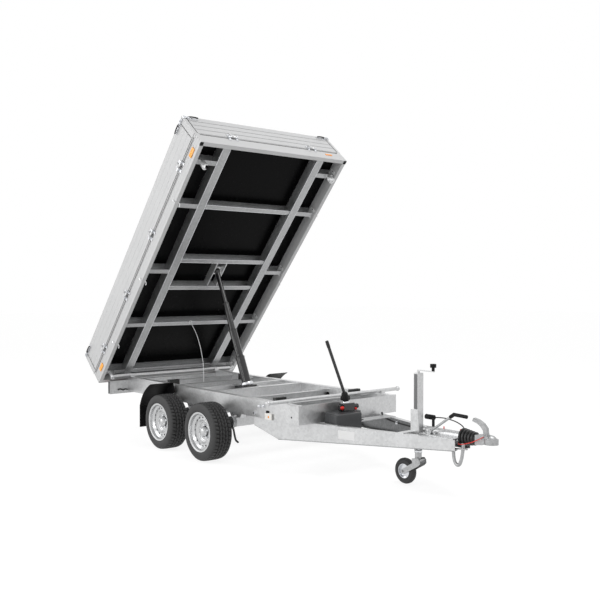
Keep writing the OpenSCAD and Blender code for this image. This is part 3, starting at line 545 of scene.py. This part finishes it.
# Both sides of the bed
HINGE_U = BED_L * np.array([0.122, 0.3694, 0.6218, 0.8813])
BRACKET_U = (0.136, 0.8245, 1.556, 2.365, 2.854)
HOOK_U = (0.580, 1.450, 2.410)
CROSS_U = (0.110, 0.7995, 1.311, 1.671, 2.3401)
for side, s in (("right", -1), ("left", 1)):
    out = s * Y
    board = side + "_board"
    for k, u, way in (("front", 3.012, 1), ("rear", 0.063, -1)):
        latch(f"latch_{side}_{k}", board, bed(u, s * BED_Y, LATCH_H), way * E1, out, E3)
    latch(f"latch_across_{side}", "front_board", bed(BED_L, s * 0.842, LATCH_H), out, E1, E3)
    for k, u in enumerate(HINGE_U):
        hinge(f"hinge_{side}_{k}", board, bed(u, s * (BED_Y + 0.015), HINGE_H), E1, out, 0.020)
    # A dark strip along the gap under each drop board: painted shade
    pad(f"seal_{side}", bed(BED_L / 2, s * 0.8805, GAP_SHADE_H), 1.50 * E1, 0.0012 * Y, 0.004 * E3,
        "black_rubber", "bed", SHARP)
    for k, h in enumerate((0.195, 0.264, 0.333)):
        pad(f"board_rib_{side}_{k}", bed(BED_L / 2, s * 0.8822, h), 1.471 * E1, 0.0021 * Y, 0.0039 * E3,
            "aluminium", board, 0.08)
    for k, h in enumerate((0.021, 0.055)):
        pad(f"rail_rib_{side}_{k}", bed(BED_L / 2, s * 0.8772, h), 1.536 * E1, 0.0021 * Y, 0.0029 * E3,
            "aluminium", "bed", 0.08)
    for k, u in (("front", 3.0155), ("rear", 0.0595)):
        pad(f"post_line_{side}_{k}", bed(u, s * BED_Y, BOARD_H), 0.0025 * E1, 0.0012 * Y, 0.136 * E3,
            "black_rubber", "bed", SHARP)
    pad(f"post_line_{side}_across", bed(BED_L, s * 0.8480, BOARD_H), 0.0012 * E1, 0.0025 * Y, 0.136 * E3,
        "black_rubber", "bed", SHARP)
    for k, u in (("front", 2.917), ("rear", 0.182)):
        pad(f"reflector_{side}_{k}", bed(u, s * 0.8835, 0.042), 0.047 * E1, 0.004 * Y, 0.022 * E3,
            "amber_side", "bed", 0.15)
    # Bright tubes along the long members' edges: painted highlights
    for k, v in (("out", 0.606), ("in", 0.524)):
        pipe(f"member_edge_{side}_{k}", [bed(u, s * v, 0.0012) for u in (0.046, 1.5, 3.03)], 0.0028,
             "zinc_bright", "bed")
    # The zinc brackets take the white rope finish so they show bright: painted light
    for k, u in enumerate(BRACKET_U):
        pad(f"rail_bracket_{side}_{k}", bed(u, s * 0.8385, 0.045), 0.055 * E1, 0.0020 * Y, 0.036 * E3,
            "wire_rope", "bed", SHARP)
        for e in (-0.043, 0.043):
            dome(f"rail_bolt_{side}_{k}_{int(e * 1000)}", bed(u + e, s * 0.8366, 0.045), -out, 0.0065, 0.004,
                 "black_plastic", "bed")
    for k, u in enumerate(HOOK_U):
        bend = ((0, -0.018), (0, -0.040), (-0.008, -0.052), (-0.024, -0.056))
        pipe(f"rail_hook_{side}_{k}", [bed(u + e, s * 0.845, h) for e, h in bend], 0.0042, "wire_rope", "bed")
    pad(f"tube_end_{side}", bed(3.052, s * 0.86553, -0.0202), 0.019 * E1, 0.0185 * Y, 0.0016 * E3,
        "black_plastic", "bed")

# Front and underside of the bed
for k, v in (("near", -0.48), ("far", 0.48)):
    hinge(f"hinge_front_{k}", "front_board", bed(BED_L + 0.015, v, HINGE_H), Y, E1, 0.015)
# A dark strip along the gap under the front board: painted shade
pad("seal_front", bed(3.0755, 0, GAP_SHADE_H), 0.0012 * E1, 0.835 * Y, 0.004 * E3, "black_rubber", "bed", SHARP)
# Bright tubes along the cross members' edges: painted highlights
for k, u in enumerate(CROSS_U):
    for e in (0.002, 0.048):
        pipe(f"cross_edge_{k}_{int(e * 1000)}", [bed(u + e, v, 0.0072) for v in (-0.518, 0.0, 0.518)], 0.0026,
             "zinc_bright", "bed")
rope_u = PIVOT_U + (rope_path[-1] - PIVOT) @ E1
EYE_R = 0.016
pipe("rope_eye", [bed(rope_u + EYE_R * math.sin(w), -0.063 + EYE_R * math.cos(w), -0.001)
                  for w in np.linspace(0, 2 * np.pi, 13)], 0.0045, "wire_rope", "bed", 3)

# Drawbar
# A dark sheet on the jockey leg's side: painted shade
pad("leg_slot", at(LEG_X, -77.3, 750), 0.017 * X, 0.0010 * Y, 0.138 * Z, "leg_dark", "chassis", SHARP)
arm = np.array([ARM_TIP_X - ARM_X, FRAME_Y - ARM_TIP_Y, 0.0])
arm /= np.linalg.norm(arm)
face = np.array([arm[1], -arm[0], 0])
pad("label", np.array(at(1731, -334.3, 364)) + 0.0006 * face, 0.080 * arm, 0.0008 * face, 0.035 * Z,
    "label_white", "chassis", SHARP)
# Dark lines along the drawbar arms' lower edges: painted shade
ARM_SHADE_LINE = ((264, 258), (1080, 301.5), (1896, 345))  # along an arm, and the height of its lower edge
for k, s in (("right", -1), ("left", 1)):
    pipe(f"arm_edge_{k}", [at(ARM_X + d * arm[0], s * (FRAME_Y + 0.5 - d * arm[1]), z) for d, z in ARM_SHADE_LINE],
         0.003, "arm_grey", "chassis")
HOOP = ((2606, 408), (2604, 340), (2611, 275), (2634, 238), (2662, 244), (2682, 292), (2692, 350), (2696, 408))
pipe("nose_hoop", [at(x, -50, z) for x, z in HOOP], 0.013, "cast_zinc", "chassis")
pipe("nose_rod", [at(x, -58, z) for x, z in ((2560, 352), (2650, 360), (2740, 368))], 0.006,
     "cast_zinc", "chassis")
nut("nose_nut", at(2560, -58, 352), -X, 0.013, 0.014, "galvanised", "chassis")

# Chassis
pipe("brake_cable", [at(560, -640, 318), at(618, -664, 300), at(640, -670, 262), at(662, -670, 214),
                     at(700, -672, 198)], 0.009, "black_rubber", "chassis")
# Black domes for the holes in the far beam and a black pad for its slot: painted shade
for k, (x, z) in enumerate(((-635, 478), (-547, 481), (494, 496), (705, 500))):
    dome(f"beam_hole_{k}", at(x, FRAME_Y - 6, z), -Y, 0.026, 0.004, "black_plastic", "chassis")
pad("beam_slot", at(-335, FRAME_Y - 6.5, 526), 0.055 * X, 0.003 * Y, 0.022 * Z, "black_plastic", "chassis", 0.3)
pipe("beam_hose_0", [at(-330, 560, 540), at(-298, 556, 530), at(-262, 553, 500), at(-243, 552, 472)], 0.007,
     "black_rubber", "chassis")
pipe("beam_hose_1", [at(-60, 560, 512), at(0, 556, 508), at(36, 553, 492), at(62, 552, 462)], 0.007,
     "black_rubber", "chassis")
for k, s in enumerate((-1, 1)):
    dome(f"gimbal_cap_{k}", at(-59.5, s * 92, 540), s * Y, 0.026, 0.012, "zinc_bright", "chassis")
    pad(f"marker_lens_{k}", at(1030, s * 590, 457), 0.046 * X, 0.008 * Y, 0.027 * Z,
        "lamp_clear", "chassis", 0.16)
    pad(f"marker_foot_{k}", at(1005, s * 580, 492), 0.020 * X, 0.004 * Y, 0.012 * Z, "black_plastic", "chassis")
    nut(f"beam_nut_{k}", at(822, s * FRAME_Y, 464), s * Y, 0.015, 0.014, "zinc_bright", "chassis")
    dome(f"beam_dot_{k}", at(1325, s * FRAME_Y, 484), s * Y, 0.008, 0.002, "black_plastic", "chassis")


def in_far_arm(x):
    """Where the hose runs inside the far drawbar arm, across the trailer."""
    return FRAME_Y - (x - ARM_X) * ARM_SLOPE - 62


ARM_LINE = ((1470, 455), (1500, 420), (1640, 402), (1900, 400), (2190, 402))
pipe("arm_line", [at(x, in_far_arm(x), z) for x, z in ARM_LINE], 0.008, "black_rubber", "chassis")
for k, x in enumerate((1720, 1980)):
    pad(f"arm_clip_{k}", at(x, in_far_arm(x) - 4, 402), 0.014 * X, 0.010 * Y, 0.013 * Z,
        "zinc_bright", "chassis")
for k, (x, z) in enumerate(((893, 532), (951, 538))):
    nut(f"beam_bolt_{k}", at(x, -FRAME_Y, z), -Y, 0.017, 0.013, "zinc_bright", "chassis")
    dome(f"beam_stud_{k}", at(x, -FRAME_Y - 13, z), -Y, 0.010, 0.012, "zinc_bright", "chassis")
dome("marker_dot", at(1040, -597, 455), -Y, 0.011, 0.004, "amber", "chassis")
for k, x in enumerate((2469, 2629)):
    lathe(f"nipple_{k}", [(NIL, 0.018), (0.004, 0.018), (0.005, 0.0), (0.005, -0.004)], at(x, 0, 480), Z,
          "red_cord", "chassis", 12)
lathe("leg_collar", [(0.020, 0.030), (0.031, 0.028), (0.031, 0.002), (0.020, 0.0)], at(LEG_X, LEG_Y, 268), Z,
      "zinc_bright", "jockey_fork")
pipe("rear_lead", [at(-1490, -700, 450), at(-1486, -670, 459), at(-1486, -640, 446), at(-1488, -612, 453),
                   at(-1491, -585, 447)], 0.007, "black_rubber", "chassis")

# Stage and light

FLOOR_HALF = 40.0
GLOW, GLOW_SHARE = 1.14, 0.75  # the floor's own white where it is seen, and its share: the rest shows shadow
FILL = 0.56  # strength of the white world as a light; where it is seen it is 1


def seen(tree):
    """1 for the rays that show the backdrop: from the camera, off metal and through glass."""
    n = tree.nodes.new("ShaderNodeLightPath")
    rays = ("Camera", "Glossy", "Transmission")
    camera, glossy, through = (Sock(tree, n.outputs[f"Is {k} Ray"]) for k in rays)
    return camera.most(glossy.most(through))


floor_mat = bpy.data.materials.new("floor")
floor_mat.use_nodes = True
tree = floor_mat.node_tree
shader = tree.nodes["Principled BSDF"]
shader.inputs["Base Color"].default_value = (0.92, 0.92, 0.92, 1)
shader.inputs["Roughness"].default_value = 0.9
ray = seen(tree)
white = ray.node("ShaderNodeEmission", Color=(1, 1, 1, 1), Strength=GLOW)
both = ray.node("ShaderNodeMixShader", ray * GLOW_SHARE, Sock(tree, shader.outputs[0]), white)
tree.links.new(both.out, tree.nodes["Material Output"].inputs["Surface"])
me = bpy.data.meshes.new("floor")
me.from_pydata([(FLOOR_HALF * x, FLOOR_HALF * y, 0) for x, y in ((-1, -1), (1, -1), (1, 1), (-1, 1))], [],
               [(0, 1, 2, 3)])
me.materials.append(floor_mat)
floor = bpy.data.objects.new("floor", me)
scene.collection.objects.link(floor)

world = bpy.data.worlds.new("studio")
scene.world = world
world.use_nodes = True
tree = world.node_tree
sky = tree.nodes["Background"]
sky.inputs["Color"].default_value = (1, 1, 1, 1)
tree.links.new((seen(tree) * (1 - FILL) + FILL).out, sky.inputs["Strength"])


def light(name, place, aim, wide, tall, power):
    """An area light that faces its aim."""
    d = bpy.data.lights.new(name, "AREA")
    d.shape, d.size, d.size_y, d.energy = "RECTANGLE", wide, tall, power
    o = bpy.data.objects.new(name, d)
    scene.collection.objects.link(o)
    o.location = place
    v = np.array(aim, float) - np.array(place, float)
    o.rotation_euler = (math.acos(-v[2] / np.linalg.norm(v)), 0, math.atan2(v[1], v[0]) - math.pi / 2)


light("key", (-4.5, -6.5, 3.6), (0, 0, 0.8), 5.0, 5.0, 190)
light("top", (2.5, 1.0, 6.5), (0.0, 0, 1.5), 3.0, 3.0, 130)
light("strip", (1.0, -8.0, 2.6), (0, 0, 1.0), 0.4, 4.0, 60)
